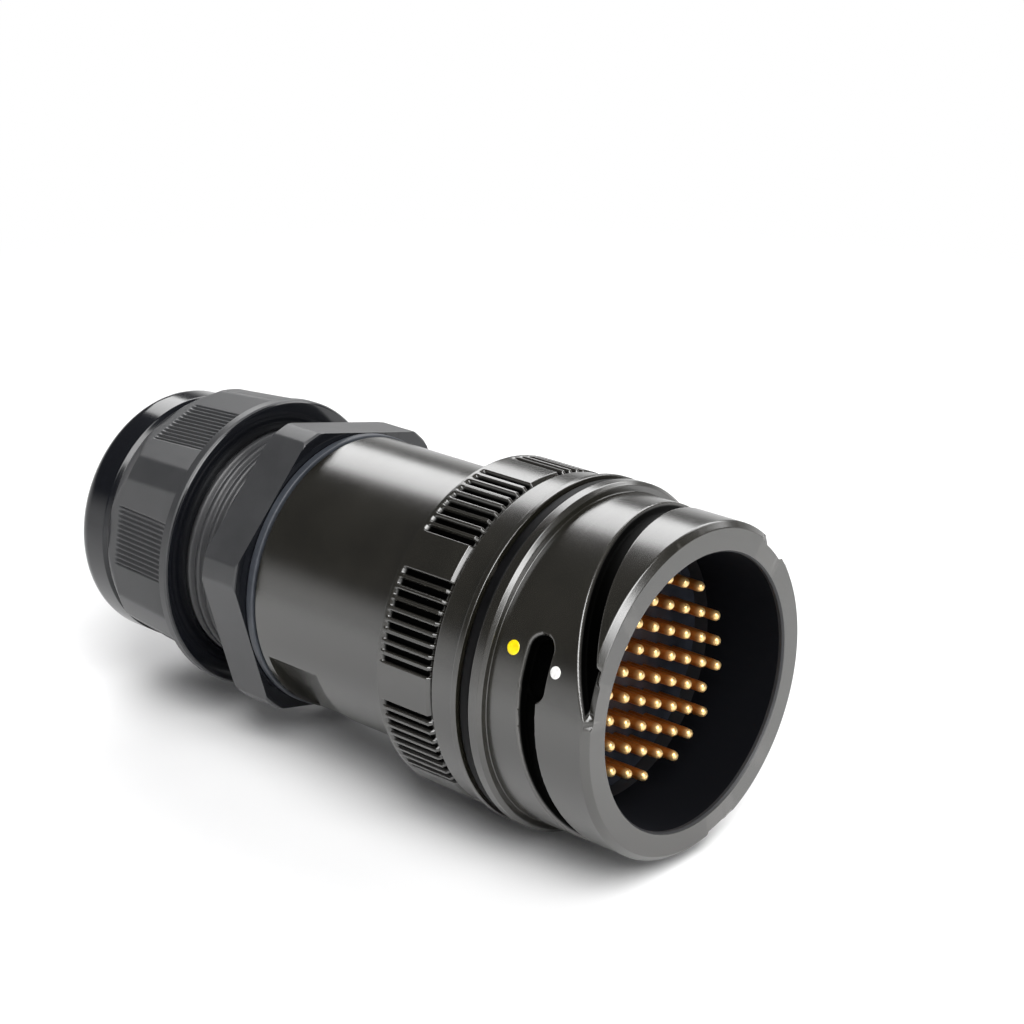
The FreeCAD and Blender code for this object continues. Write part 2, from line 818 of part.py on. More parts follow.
# Cable seal: a rubber tube that fills the cage and grips the cable
def cable_seal():
    outer = size("cage_radius") - size("cage_wall") - size("slip") * 3
    front = cage_front + size("seal_setback")
    back = cage_back - size("seal_setback")
    taper_front = cage_back - size("cage_taper_length")
    bore = size("seal_bore")
    return turned_body("cable_seal", [
        (front, bore + size("seal_setback")),
        (front, outer),
        (taper_front, outer),
        (back, size("seal_tube_radius")),
        (back, bore + size("seal_setback")),
        (back - size("seal_setback"), bore),
        (front + size("seal_setback"), bore),
    ])


keep(cable_seal(), "cable_seal")


# Recompute, check every object and write one file for each piece
doc.recompute()
for thing in doc.Objects:
    for word in ("Invalid", "Error"):
        if word in thing.State:
            raise RuntimeError("%s is %s" % (thing.Label, word))
for piece in pieces:
    shape = piece.Shape
    if shape.isNull() or not shape.isValid():
        raise RuntimeError("%s has no valid shape" % piece.Label)
    box = shape.BoundBox
    print("%-22s solids %2d  volume %9.1f  x %7.2f to %7.2f  out %6.2f" % (
        piece.Label, len(shape.Solids), shape.Volume, box.XMin, box.XMax, box.ZMax))
    shape.exportStep("parts/%s.step" % piece.Label)
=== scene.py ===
# %% [markdown]
# # An in-line cable receptacle, dressed on its CAD frame
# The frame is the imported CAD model: it says where every piece sits and what moves with what. This file
# gives each visible piece its finished surface, and then sets the light, the floor and the camera.

# %% Load the frame
import math
import bpy
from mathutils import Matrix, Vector


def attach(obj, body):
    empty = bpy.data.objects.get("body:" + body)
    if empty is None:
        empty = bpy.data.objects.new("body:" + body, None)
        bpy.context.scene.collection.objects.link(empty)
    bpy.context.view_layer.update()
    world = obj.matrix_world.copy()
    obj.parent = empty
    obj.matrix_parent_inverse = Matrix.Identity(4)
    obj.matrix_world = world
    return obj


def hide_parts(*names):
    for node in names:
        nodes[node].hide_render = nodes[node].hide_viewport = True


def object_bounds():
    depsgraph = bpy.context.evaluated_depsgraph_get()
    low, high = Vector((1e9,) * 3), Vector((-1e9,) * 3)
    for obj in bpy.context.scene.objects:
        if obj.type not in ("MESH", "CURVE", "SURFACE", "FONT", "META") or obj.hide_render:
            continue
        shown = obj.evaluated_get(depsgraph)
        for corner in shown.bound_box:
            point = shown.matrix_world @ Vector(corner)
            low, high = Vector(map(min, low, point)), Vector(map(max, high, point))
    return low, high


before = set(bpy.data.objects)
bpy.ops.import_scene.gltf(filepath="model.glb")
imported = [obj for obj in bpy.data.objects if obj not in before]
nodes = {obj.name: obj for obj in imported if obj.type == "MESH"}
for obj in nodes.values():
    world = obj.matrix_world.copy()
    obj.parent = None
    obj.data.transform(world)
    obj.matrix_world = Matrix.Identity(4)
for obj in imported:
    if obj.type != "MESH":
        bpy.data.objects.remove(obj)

cad_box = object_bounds()
print("CAD box, mm:", [round(1000 * value, 1) for corner in cad_box for value in corner])

# %% [markdown]
# ## Places on a round object
# Nearly every piece here is turned, so a place is easiest to say as three numbers: how far behind the
# mouth rim it lies, its angle from the top towards the viewer, and its radius. One helper changes these
# into the frame's metres. Two sizes come up again and again: how far behind the rim the flange's front
# face lies, where the frame has its origin, and the barrel's radius.

# %% From rim, angle and radius to the frame
FLANGE_FRONT = 18.1
BARREL = 25.4


def spot(back, angle, out):
    turn = math.radians(angle)
    return Vector((FLANGE_FRONT - back, -out * math.sin(turn), out * math.cos(turn))) / 1000


print("top of the rim:", [round(value, 4) for value in spot(0, 0, BARREL)])

# %% [markdown]
# ## Arithmetic for nodes
# Node trees are drawn by hand as boxes and wires, which is slow in a script. A small class lets a wire be
# used like a number: adding two of them places a Math node and links it. The same class serves the
# Geometry Nodes that shape pieces and the shader nodes that finish them.

# %% A wire that can be used like a number
class Wire:
    def __init__(self, tree, socket):
        self.tree = tree
        self.socket = socket

    def math(self, operation, *others):
        node = self.tree.nodes.new("ShaderNodeMath")
        node.operation = operation
        for place, value in enumerate((self,) + others):
            plug(self.tree, node.inputs[place], value)
        return Wire(self.tree, node.outputs[0])

    def __add__(self, other):
        return self.math("ADD", other)

    def __sub__(self, other):
        return self.math("SUBTRACT", other)

    def __mul__(self, other):
        return self.math("MULTIPLY", other)

    def __truediv__(self, other):
        return self.math("DIVIDE", other)

    def least(self, other):
        return self.math("MINIMUM", other)

    def most(self, other):
        return self.math("MAXIMUM", other)

    def size(self):
        return self.math("ABSOLUTE")

    def fade(self, one, none):
        """1 up to the value one, 0 past the value none, and a smooth slope between."""
        node = self.tree.nodes.new("ShaderNodeMapRange")
        node.interpolation_type = "SMOOTHSTEP"
        for name, value in (("Value", self), ("From Min", one), ("From Max", none)):
            plug(self.tree, node.inputs[name], value)
        node.inputs["To Min"].default_value = 1.0
        node.inputs["To Max"].default_value = 0.0
        return Wire(self.tree, node.outputs[0])


def plug(tree, socket, value):
    if isinstance(value, Wire):
        tree.links.new(value.socket, socket)
    else:
        socket.default_value = value


# %% [markdown]
# ## Turning an outline
# A lathe part is an outline spun round an axis. Sharp corners never catch the light, so every corner gets
# a small rounding, and a row of points close beside it keeps the flat faces flat when they are shaded
# smoothly. A row is marked as skin where a later step may carve it.

# %% Round the corners of an outline
NEARLY_STRAIGHT = math.radians(88)
LONGEST_SHARE = 0.42
BESIDE = 0.07
STEPS = 3
BROAD = 0.5


def rounded(corners):
    """Rows (back, out) round a closed outline. A corner (back, out) stays sharp, (back, out, radius) is
    rounded in a few steps, or in three times as many where the radius is broad."""
    rows = []
    total = len(corners)
    for index, corner in enumerate(corners):
        here = Vector(corner[:2])
        radius = corner[2] if len(corner) > 2 else 0
        before = Vector(corners[index - 1][:2]) - here
        after = Vector(corners[(index + 1) % total][:2]) - here
        half = before.angle(after) / 2
        if radius == 0 or half > NEARLY_STRAIGHT:
            rows.append(here)
            continue
        longest = min(before.length * LONGEST_SHARE, after.length * LONGEST_SHARE)
        reach = min(radius / math.tan(half), longest)
        radius = reach * math.tan(half)
        centre = here + (before.normalized() + after.normalized()).normalized() * (radius / math.sin(half))
        first = here + before.normalized() * reach - centre
        last = here + after.normalized() * reach - centre
        if before.length > 3 * BESIDE + 2 * reach:
            rows.append(here + before.normalized() * (reach + BESIDE))
        pieces = STEPS if radius < BROAD else 3 * STEPS
        for step in range(pieces + 1):
            rows.append(centre + first.slerp(last, step / pieces, first).normalized() * radius)
        if after.length > 3 * BESIDE + 2 * reach:
            rows.append(here + after.normalized() * (reach + BESIDE))
    return rows


def divided(rows, start, end, spacing, least_out):
    """Adds rows where an outline runs between two places along the axis, for a carving to follow."""
    result = []
    for index, row in enumerate(rows):
        result.append(row)
        following = rows[(index + 1) % len(rows)]
        low, high = sorted((row.x, following.x))
        if high <= start or low >= end or min(row.y, following.y) < least_out:
            continue
        count = int((following - row).length / spacing)
        for step in range(1, count + 1):
            result.append(row.lerp(following, step / (count + 1)))
    return result


def more_rows(rows, places, least_out, beside=(0,)):
    """Adds rows at the places given. With beside as UPRIGHT, a wall there comes out upright."""
    result = []
    for index, row in enumerate(rows):
        result.append(row)
        following = rows[(index + 1) % len(rows)]
        if min(row.y, following.y) < least_out or following.x == row.x:
            continue
        shares = [(place + shift - row.x) / (following.x - row.x) for place in places for shift in beside]
        result += [row.lerp(following, share) for share in sorted(shares) if 0.001 < share < 0.999]
    return result


UPRIGHT = (-0.09, -0.02, 0.02, 0.09)


# %% Spin an outline into a mesh
def added(name, data):
    """A new object that holds the data, linked to the scene."""
    piece = bpy.data.objects.new(name, data)
    bpy.context.scene.collection.objects.link(piece)
    return piece


def turned(name, rows, columns, skin=lambda back, out: True, split=1, closed=True):
    """A mesh object spun from rows (back, out). Rows off the skin have split times fewer points."""
    area = sum(a.x * b.y - b.x * a.y for a, b in zip(rows, rows[1:] + rows[:1]))
    if area < 0:
        rows = rows[::-1]
    points, marks, rings = [], [], []
    for row in rows:
        fine = skin(row.x, row.y)
        around = 1 if row.y < 1e-6 else columns if fine else columns // split
        rings.append((len(points), around))
        points += [spot(row.x, 360 * step / around, row.y) for step in range(around)]
        marks += [1.0 if fine else 0.0] * around
    faces = []
    for index in range(len(rows) if closed else len(rows) - 1):
        (start, around), (below, beneath) = rings[index], rings[(index + 1) % len(rows)]
        steps = min(around, beneath)
        if steps == 1:
            steps = max(around, beneath)
        wide, narrow = max(1, around // steps), max(1, beneath // steps)
        for step in range(steps):
            upper = [start + k % around for k in range(step * wide, (step + 1) * wide + 1)]
            lower = [below + k % beneath for k in range(step * narrow, (step + 1) * narrow + 1)]
            ring = list(dict.fromkeys(upper + lower[::-1]))
            if len(ring) > 2:
                faces.append(ring)
    mesh = bpy.data.meshes.new(name)
    mesh.from_pydata(points, [], faces)
    mesh.attributes.new("skin", "FLOAT", "POINT").data.foreach_set("value", marks)
    soften(mesh)
    return added(name, mesh)


SHARP_FROM = math.radians(62)


def soften(mesh):
    """Smooth shading, broken where two faces meet at a sharp angle."""
    mesh.polygons.foreach_set("use_smooth", [True] * len(mesh.polygons))
    mesh.set_sharp_from_angle(angle=SHARP_FROM)


def volume(piece):
    """Signed volume in cubic millimetres: positive where the faces point outwards."""
    mesh = piece.data
    mesh.calc_loop_triangles()
    corners = [vertex.co for vertex in mesh.vertices]
    total = 0.0
    for triangle in mesh.loop_triangles:
        a, b, c = (corners[index] for index in triangle.vertices)
        total += a.dot(b.cross(c)) / 6
    return total * 1e9


# %% [markdown]
# ## Carving by rule
# Bayonet grooves, finger grips, flats, threads and ribs all follow a rule that can be written down as a
# radius for each place on the skin. A Geometry Nodes tree reads each point's place, works out the new
# radius and moves the point straight in or out. The sizes are named inputs of the tree, so that a reader
# can open the file and try others.

# %% A tree that moves the skin to a new radius
def carving(name, sizes, rule):
    """sizes is a dict of named inputs; rule(back, turn, out, sizes) gives the new radius as a wire."""
    tree = bpy.data.node_groups.new(name, "GeometryNodeTree")
    tree.interface.new_socket("Geometry", in_out="INPUT", socket_type="NodeSocketGeometry")
    for label, value in sizes.items():
        tree.interface.new_socket(label, in_out="INPUT", socket_type="NodeSocketFloat").default_value = value
    tree.interface.new_socket("Finish", in_out="INPUT", socket_type="NodeSocketMaterial")
    tree.interface.new_socket("Geometry", in_out="OUTPUT", socket_type="NodeSocketGeometry")
    entry = tree.nodes.new("NodeGroupInput")
    leave = tree.nodes.new("NodeGroupOutput")
    apart = tree.nodes.new("ShaderNodeSeparateXYZ")
    tree.links.new(tree.nodes.new("GeometryNodeInputPosition").outputs[0], apart.inputs[0])
    x, y, z = (Wire(tree, socket) for socket in apart.outputs)
    back = (x * -1000) + FLANGE_FRONT
    out = (y * y + z * z).math("SQRT") * 1000
    turn = (y * -1).math("ARCTAN2", z) * (180 / math.pi)
    named = {label: Wire(tree, entry.outputs[label]) for label in sizes}
    skin = tree.nodes.new("GeometryNodeInputNamedAttribute")
    skin.data_type = "FLOAT"
    skin.inputs["Name"].default_value = "skin"
    moved = out + (rule(back, turn, out, named) - out) * Wire(tree, skin.outputs["Attribute"])
    factor = moved / out.most(1e-6)
    joined = tree.nodes.new("ShaderNodeCombineXYZ")
    for socket, value in zip(joined.inputs, (x, y * factor, z * factor)):
        plug(tree, socket, value)
    move = tree.nodes.new("GeometryNodeSetPosition")
    real = tree.nodes.new("GeometryNodeRealizeInstances")
    paint = tree.nodes.new("GeometryNodeSetMaterial")
    tree.links.new(entry.outputs["Geometry"], move.inputs["Geometry"])
    tree.links.new(joined.outputs[0], move.inputs["Position"])
    tree.links.new(move.outputs[0], real.inputs[0])
    tree.links.new(real.outputs[0], paint.inputs["Geometry"])
    tree.links.new(entry.outputs["Finish"], paint.inputs["Material"])
    tree.links.new(paint.outputs[0], leave.inputs[0])
    return tree


def apply_tree(piece, tree, finish, **sizes):
    """Runs a tree on a piece with its named inputs, and keeps the result as a plain mesh."""
    modifier = piece.modifiers.new(tree.name, "NODES")
    modifier.node_group = tree
    for item in tree.interface.items_tree:
        if item.in_out == "INPUT" and item.name in sizes:
            modifier[item.identifier] = sizes[item.name]
        elif item.name == "Finish":
            modifier[item.identifier] = finish
    evaluated = piece.evaluated_get(bpy.context.evaluated_depsgraph_get())
    mesh = bpy.data.meshes.new_from_object(evaluated)
    piece.modifiers.clear()
    piece.data = mesh
    soften(mesh)
    inside = volume(piece)
    print("%-26s %6d triangles  %8.0f mm3" % (piece.name, len(mesh.loop_triangles), inside))


# %% [markdown]
# ## Finishes
# A finish is a small shader tree. Each reads the piece's own Object coordinates, so the pattern stays on
# the piece when it turns, and mixes two or three scales of noise: broad ones shift the tone, fine ones
# break up the gloss. First, a few helpers that all finishes share.

# %% Helpers for shader trees
def new_finish(name, **values):
    """A material with one Principled shader, whose plain values are given by name."""
    material = bpy.data.materials.new(name)
    material.use_nodes = True
    tree = material.node_tree
    shader = tree.nodes["Principled BSDF"]
    for label, value in values.items():
        shader.inputs[label.replace("_", " ")].default_value = value
    return material, tree, shader


def place_on(tree):
    """Object coordinates in millimetres, as three wires and as one vector."""
    coordinate = tree.nodes.new("ShaderNodeTexCoord")
    scaled = tree.nodes.new("ShaderNodeVectorMath")
    scaled.operation = "SCALE"
    scaled.inputs["Scale"].default_value = 1000
    tree.links.new(coordinate.outputs["Object"], scaled.inputs[0])
    apart = tree.nodes.new("ShaderNodeSeparateXYZ")
    tree.links.new(scaled.outputs[0], apart.inputs[0])
    return [Wire(tree, socket) for socket in apart.outputs], scaled.outputs[0]


def noise(tree, vector, scale, detail=4.0, roughness=0.55, stretch=None):
    if stretch:
        mapping = tree.nodes.new("ShaderNodeMapping")
        mapping.inputs["Scale"].default_value = stretch
        tree.links.new(vector, mapping.inputs["Vector"])
        vector = mapping.outputs[0]
    node = tree.nodes.new("ShaderNodeTexNoise")
    node.inputs["Scale"].default_value = scale
    node.inputs["Detail"].default_value = detail
    node.inputs["Roughness"].default_value = roughness
    tree.links.new(vector, node.inputs["Vector"])
    return Wire(tree, node.outputs["Fac"])


def tones(tree, share, *stops):
    """A colour ramp through stops (position, colour)."""
    ramp = tree.nodes.new("ShaderNodeValToRGB")
    while len(ramp.color_ramp.elements) < len(stops):
        ramp.color_ramp.elements.new(0.5)
    for element, (position, colour) in zip(ramp.color_ramp.elements, stops):
        element.position = position
        element.color = (*colour, 1)
    plug(tree, ramp.inputs[0], share)
    return Wire(tree, ramp.outputs["Color"])


def blend(tree, share, first, second):
    mix = tree.nodes.new("ShaderNodeMix")
    mix.data_type = "RGBA"
    plug(tree, mix.inputs["Factor"], share)
    for socket, value in ((mix.inputs["A"], first), (mix.inputs["B"], second)):
        plug(tree, socket, value if isinstance(value, Wire) else (*value, 1))
    return Wire(tree, mix.outputs["Result"])


def bumpy(tree, shader, height, distance):
    """Turns a height into small dents and ridges of the shading; 1 stands for distance in millimetres."""
    bump = tree.nodes.new("ShaderNodeBump")
    bump.inputs["Strength"].default_value = 1.0
    bump.inputs["Distance"].default_value = distance / 1000
    plug(tree, bump.inputs["Height"], height)
    tree.links.new(bump.outputs[0], shader.inputs["Normal"])


def worn_edges(tree):
    """1 on sharp outer edges and 0 elsewhere. Pointiness is about 0.5 where a surface is flat."""
    geometry = tree.nodes.new("ShaderNodeNewGeometry")
    return Wire(tree, geometry.outputs["Pointiness"]).fade(0.56, 0.50)


# %% [markdown]
# ### Plated metal
# The shells are turned aluminium under a near-black plating with an olive cast. It mirrors its
# surroundings dimly, like dark glass, and the lathe has left very fine rings round it. The rings are noise
# stretched round the axis: it changes quickly along X and hardly at all across.

# %% Near-black plating
def plating(name, ring_scale, grooves=None, bore=None):
    """grooves is (radius, front, rear): what lies deeper between those places gets a painted shade, a
    near-black tone that mirrors little, and is dull. A piece with grooves may also have a bore, a radius
    within which it is dull and a little paler."""
    material, tree, shader = new_finish(name, IOR=1.95)
    (x, y, z), vector = place_on(tree)
    broad = noise(tree, vector, 0.12, 3)
    rings = noise(tree, vector, 1.0, 3, 0.6, (9 * ring_scale, 0.15, 0.15))
    grain = noise(tree, vector, 6.0, 2)
    tone = tones(tree, broad, (0.3, (0.0085, 0.0078, 0.0052)), (0.7, (0.0135, 0.0124, 0.0088)))
    tone = blend(tree, worn_edges(tree), tone, (0.03, 0.028, 0.024))
    gloss = broad * 0.08 + rings * 0.08 + grain * 0.04 + 0.12
    if grooves:
        radius, front, rear = grooves
        out = (y * y + z * z).math("SQRT")
        back = x * -1 + FLANGE_FRONT
        # Painted shade: the floors and walls of the grooves get a near-black tone that mirrors little, for
        # the shade in them.
        deep = out.fade(radius - 0.45, radius)
        painted_groove_shade_and_bore = deep * back.fade(rear, rear + 0.2) * (back * -1).fade(-front, 0.2 - front)
        tone = blend(tree, painted_groove_shade_and_bore, tone, (0.0012, 0.0012, 0.0011))
        gloss = gloss + painted_groove_shade_and_bore * 0.45
        if bore:
            inner = out.fade(bore, bore + 0.1)
            tone = blend(tree, inner, tone, (0.0125, 0.0132, 0.0160))
            gloss = gloss + inner * 0.38
            painted_groove_shade_and_bore = (painted_groove_shade_and_bore + inner * 0.5).least(1)
        plug(tree, shader.inputs["Metallic"], painted_groove_shade_and_bore)
    plug(tree, shader.inputs["Base Color"], tone)
    plug(tree, shader.inputs["Roughness"], gloss)
    bumpy(tree, shader, rings * 0.5 + grain * 0.5, 0.004)
    return material


# The bayonet grooves of the shell and the finger grooves of the grip ring get the painted groove shade.
shell_finish = plating("plating_of_shell", 1.0, (25.2, 1.0, 14.0), 21.1)
grip_finish = plating("plating_of_grip_ring", 1.6, (26.05, 29.0, 38.4))
backshell_finish = plating("plating_of_backshell", 0.8)

# %% [markdown]
# ### Moulded gland plastic
# The gland and its dome nut are glass-filled plastic: dark grey, half matt, with a very fine grain from the
# mould.
# Their front faces and the lip of the nut were polished in the mould; the front faces get a painted shade, a
# near-black tone for the shade they lie in, and the lip is given the same near-black.

# %% Gland plastic, matt body and polished ends
def gland_plastic(name, front, lip_from=None):
    """Matt behind the place front, and as far as the place lip_from where there is one; else polished and
    near-black, which on the front faces is a painted shade.
    """
    material, tree, shader = new_finish(name, IOR=1.5, Specular_IOR_Level=0.55)
    (x, _, _), vector = place_on(tree)
    broad = noise(tree, vector, 0.15, 3)
    grain = noise(tree, vector, 3.5, 4, 0.65)
    tone = tones(tree, broad, (0.3, (0.0270, 0.0275, 0.0290)), (0.75, (0.0400, 0.0405, 0.0425)))
    gloss = grain * 0.12 + broad * 0.08 + 0.30
    back = x * -1 + FLANGE_FRONT
    matt_not_painted_dark = back.fade(front, front + 0.06) * -1 + 1
    if lip_from:
        matt_not_painted_dark = matt_not_painted_dark * back.fade(lip_from, lip_from + 0.8)
    speckled = blend(tree, grain * 0.35, tone, (0.062, 0.063, 0.066))
    # Painted shade: the front faces, which lie in shade, get a near-black tone; the lip gets the same
    # near-black.
    tone = blend(tree, matt_not_painted_dark, (0.0050, 0.0056, 0.0075), speckled)
    plug(tree, shader.inputs["Base Color"], tone)
    plug(tree, shader.inputs["Roughness"], (gloss - 0.14) * matt_not_painted_dark + 0.14)
    bumpy(tree, shader, grain * (matt_not_painted_dark * 0.95 + 0.05), 0.012)
    return material


# The hexagon's front face and the nut's front face get the painted shade; the nut's lip is near-black too.
gland_finish = gland_plastic("moulded_gland_plastic", 70.80)
nut_finish = gland_plastic("moulded_nut_plastic", 87.45, 105.6)
cage_finish = gland_plastic("moulded_cage_plastic", 0.0)

# %% [markdown]
# ### Rubber, paint, washer and gold
# Rubber is dark and soft-lit, with a dusty bloom. The two index dots are thick drops of paint. The washer
# is a bonded fibre disc. The contacts are gold over copper. They are bright gold at the rounded tips; down
# the pins they get a painted shade and reflection, a deeper orange, where they lie in the shell and only see
# each other.

# %% Soft and small finishes
def rubber(name, dark, pale, roughness=0.62, mirror=0.5):
    material, tree, shader = new_finish(name, IOR=1.5, Specular_IOR_Level=mirror)
    _, vector = place_on(tree)
    bloom = noise(tree, vector, 0.35, 5, 0.6)
    grain = noise(tree, vector, 5.0, 3)
    plug(tree, shader.inputs["Base Color"], tones(tree, bloom, (0.35, dark), (0.8, pale)))
    plug(tree, shader.inputs["Roughness"], bloom * 0.15 + grain * 0.1 + (roughness - 0.12))
    bumpy(tree, shader, grain, 0.015)
    return material


def paint(name, colour, shade):
    material, tree, shader = new_finish(name, IOR=1.5, Coat_Weight=0.3, Coat_Roughness=0.1)
    _, vector = place_on(tree)
    cloud = noise(tree, vector, 1.5, 3)
    plug(tree, shader.inputs["Base Color"], tones(tree, cloud, (0.3, shade), (0.65, colour)))
    plug(tree, shader.inputs["Roughness"], cloud * 0.2 + 0.25)
    bumpy(tree, shader, cloud, 0.03)
    return material


def gold(name, tip_back):
    """Bright as far as a little behind the tips, and from there on a deeper tone, a painted shade and
    reflection.
    """
    material, tree, shader = new_finish(name, Metallic=0.8)
    (x, _, _), vector = place_on(tree)
    # Painted shade and reflection: down the pins, inside the shell, the gold gets a deeper orange tone.
    painted_shade_down_pins = (x * -1 + FLANGE_FRONT).fade(tip_back + 0.2, tip_back + 1.5)
    cloud = noise(tree, vector, 1.2, 4)
    bright = tones(tree, cloud, (0.3, (0.95, 0.62, 0.25)), (0.7, (1.0, 0.72, 0.34)))
    deep = tones(tree, cloud, (0.3, (0.44, 0.13, 0.020)), (0.7, (0.60, 0.21, 0.040)))
    plug(tree, shader.inputs["Base Color"], blend(tree, painted_shade_down_pins, deep, bright))
    plug(tree, shader.inputs["Roughness"], cloud * 0.15 + 0.28)
    return material


seal_finish = rubber("seal_rubber", (0.0015, 0.0015, 0.0018), (0.0045, 0.0045, 0.005), 0.5, 0.12)
inner_rubber = rubber("inner_rubber", (0.010, 0.010, 0.011), (0.022, 0.022, 0.024), 0.55)
insert_finish = rubber("insert_face_rubber", (0.010, 0.012, 0.018), (0.022, 0.026, 0.036), 0.42)
washer_finish = rubber("washer_fibre", (0.030, 0.034, 0.042), (0.052, 0.058, 0.070), 0.5)
yellow_finish = paint("yellow_paint", (0.95, 0.76, 0.0), (0.80, 0.58, 0.0))
white_finish = paint("white_paint", (0.88, 0.88, 0.86), (0.68, 0.68, 0.66))
gold_finish = gold("contact_gold", 7.1)
print("finishes:", len(bpy.data.materials))

# %% [markdown]
# ## The shell and its bayonet grooves
# Three grooves let the studs of its mate pass the rim, climb round the barrel and drop into a wider pocket
# at the end. Each groove's middle follows one rule: level at the pocket, then climbing ever faster to the
# rim. The skin of the barrel is a fine grid, and the tree sinks every point that lies in a groove. A
# boolean cut would leave hard edges with no light on them, while a sunk grid gets soft ones.

# %% Bayonet grooves as a rule
GROOVES = {
    "Barrel": BARREL, "Angle": 63.2, "Back": 11.1, "Rise": 12.2, "Sweep": 138.5, "Power": 2.1,
    "Width": 2.8, "Depth": 1.4, "Edge": 0.26,
    "Pocket width": 4.2, "Pocket sweep": 12.0, "Pocket depth": 1.75,
}
GROOVES_APART = 120


def bayonet(back, turn, out, named):
    along = (turn - named["Angle"]).math("FLOORED_MODULO", GROOVES_APART)
    per_degree = math.pi / 180 * BARREL
    sunk = None
    for offset in (0, GROOVES_APART):
        here = along + offset
        middle = named["Back"] - named["Rise"] * (here / named["Sweep"]).math("POWER", named["Power"])
        away = (back - middle).size() - named["Width"] * 0.5
        groove = away.fade(named["Edge"] * -1, named["Edge"]) * named["Depth"]
        sunk = groove if sunk is None else sunk.most(groove)
    level = named["Back"] + (named["Width"] - named["Pocket width"]) * 0.5
    for offset in (0, -GROOVES_APART):
        here = along + offset
        past = (here * -1).most(here - named["Pocket sweep"]).most(0) * per_degree
        beside = back - level
        away = (past * past + beside * beside).math("SQRT") - named["Pocket width"] * 0.5
        sunk = sunk.most(away.fade(named["Edge"] * -1, named["Edge"]) * named["Pocket depth"])
    return out.least(named["Barrel"] - sunk)


bayonet_tree = carving("bayonet_grooves", GROOVES, bayonet)

# %% Turn the shell and carve it
shell_rows = rounded([
    (0, 21.2, 0.1), (0, 24.5, 0.2), (0.9, 25.4, 0.4), (18.1, 25.4, 0.12),
    (18.1, 26.35, 0.15), (18.65, 26.9, 0.2), (20.2, 26.9, 0.12), (20.2, 25.3),
    (22.6, 25.3), (22.6, 26.9, 0.12), (23.6, 26.9, 0.15), (23.6, 26.1, 0.1),
    (28.0, 26.1, 0.2), (28.0, 22.8), (29.2, 23.4),
    (36.2, 23.4), (36.2, 21.9), (26.5, 21.9),
    (26.5, 20.9), (0.35, 20.9, 0.15),
])
shell_rows = divided(shell_rows, 0.9, 14.0, 0.15, 25.0)
shell = turned("receptacle_shell_dressed", shell_rows, 640, lambda back, out: back < 14.2 and out > 22, 4)
apply_tree(shell, bayonet_tree, shell_finish, **GROOVES)
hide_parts("receptacle_shell")
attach(shell, "receptacle")

# %% [markdown]
# ## Seal ring and index dots
# The seal ring is a rubber band in the flange's groove, crowned and a little below the metal. The dots
# are drops of paint: small discs that follow the barrel and swell a little in the middle.

# %% Seal ring in the flange
seal = turned("flange_seal_dressed", rounded([
    (20.3, 25.4), (20.3, 26.1, 0.2), (20.75, 26.42, 0.3),
    (22.05, 26.42, 0.3), (22.5, 26.1, 0.2), (22.5, 25.4),
]), 320)
seal.data.materials.append(seal_finish)
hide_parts("flange_seal_ring")
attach(seal, "receptacle")


# %% Paint dots on the barrel
def paint_dot(name, node, finish, back, angle, radius):
    """A disc of rings, thickest in the middle, whose last ring is sunk below the barrel's skin."""
    thick, sunk, rings, around = 0.10, 0.25, 8, 40
    points = [spot(back, angle, BARREL + thick)]
    for ring in range(1, rings + 1):
        share = ring / rings
        lift = thick * (1 - share ** 4) - (sunk if ring == rings else 0)
        for step in range(around):
            turn = 2 * math.pi * step / around
            across = math.degrees(share * radius * math.sin(turn) / BARREL)
            points.append(spot(back + share * radius * math.cos(turn), angle + across, BARREL + lift))
    faces = [[0, 1 + (step + 1) % around, 1 + step] for step in range(around)]
    for ring in range(rings - 1):
        start = 1 + ring * around
        for step in range(around):
            beside = (step + 1) % around
            faces.append([start + step, start + beside, start + around + beside, start + around + step])
    last = 1 + (rings - 1) * around
    faces.append([last + step for step in range(around)])
    mesh = bpy.data.meshes.new(name)
    mesh.from_pydata(points, [], faces)
    mesh.polygons.foreach_set("use_smooth", [True] * (len(faces) - 1) + [False])
    mesh.materials.append(finish)
    piece = added(name, mesh)
    if volume(piece) < 0:
        mesh.flip_normals()
    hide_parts(node)
    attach(piece, "receptacle")
    print(name, round(volume(piece), 2), "mm3")


paint_dot("yellow_dot_dressed", "yellow_dot", yellow_finish, 15.0, 65.3, 1.2)
paint_dot("white_dot_dressed", "white_dot", white_finish, 6.9, 68.3, 1.0)

# %% [markdown]
# ## Contacts on a lattice
# The pins stand on a lattice of even triangles, and only those inside a circle exist. That is a rule, so a
# Geometry Nodes tree lays a line of points for one row, drops the ones outside the circle and puts a pin
# on each of the rest. It runs once for each of the nine rows, since each row is its own node.

# %% One pin, turned
pin_rows = [Vector(pair) for pair in (
    (7.1, 0), (7.1, 0.14), (7.14, 0.34), (7.26, 0.54), (7.48, 0.70), (7.78, 0.78), (8.1, 0.8), (9.0, 0.8),
    (38.4, 0.8), (38.5, 0.7), (38.5, 0),
)]
pin = turned("one_pin", pin_rows, 20, closed=False)
print("pin volume:", round(volume(pin), 2), "mm3")


# %% A tree that sets one row of pins
LONGEST_ROW = 9


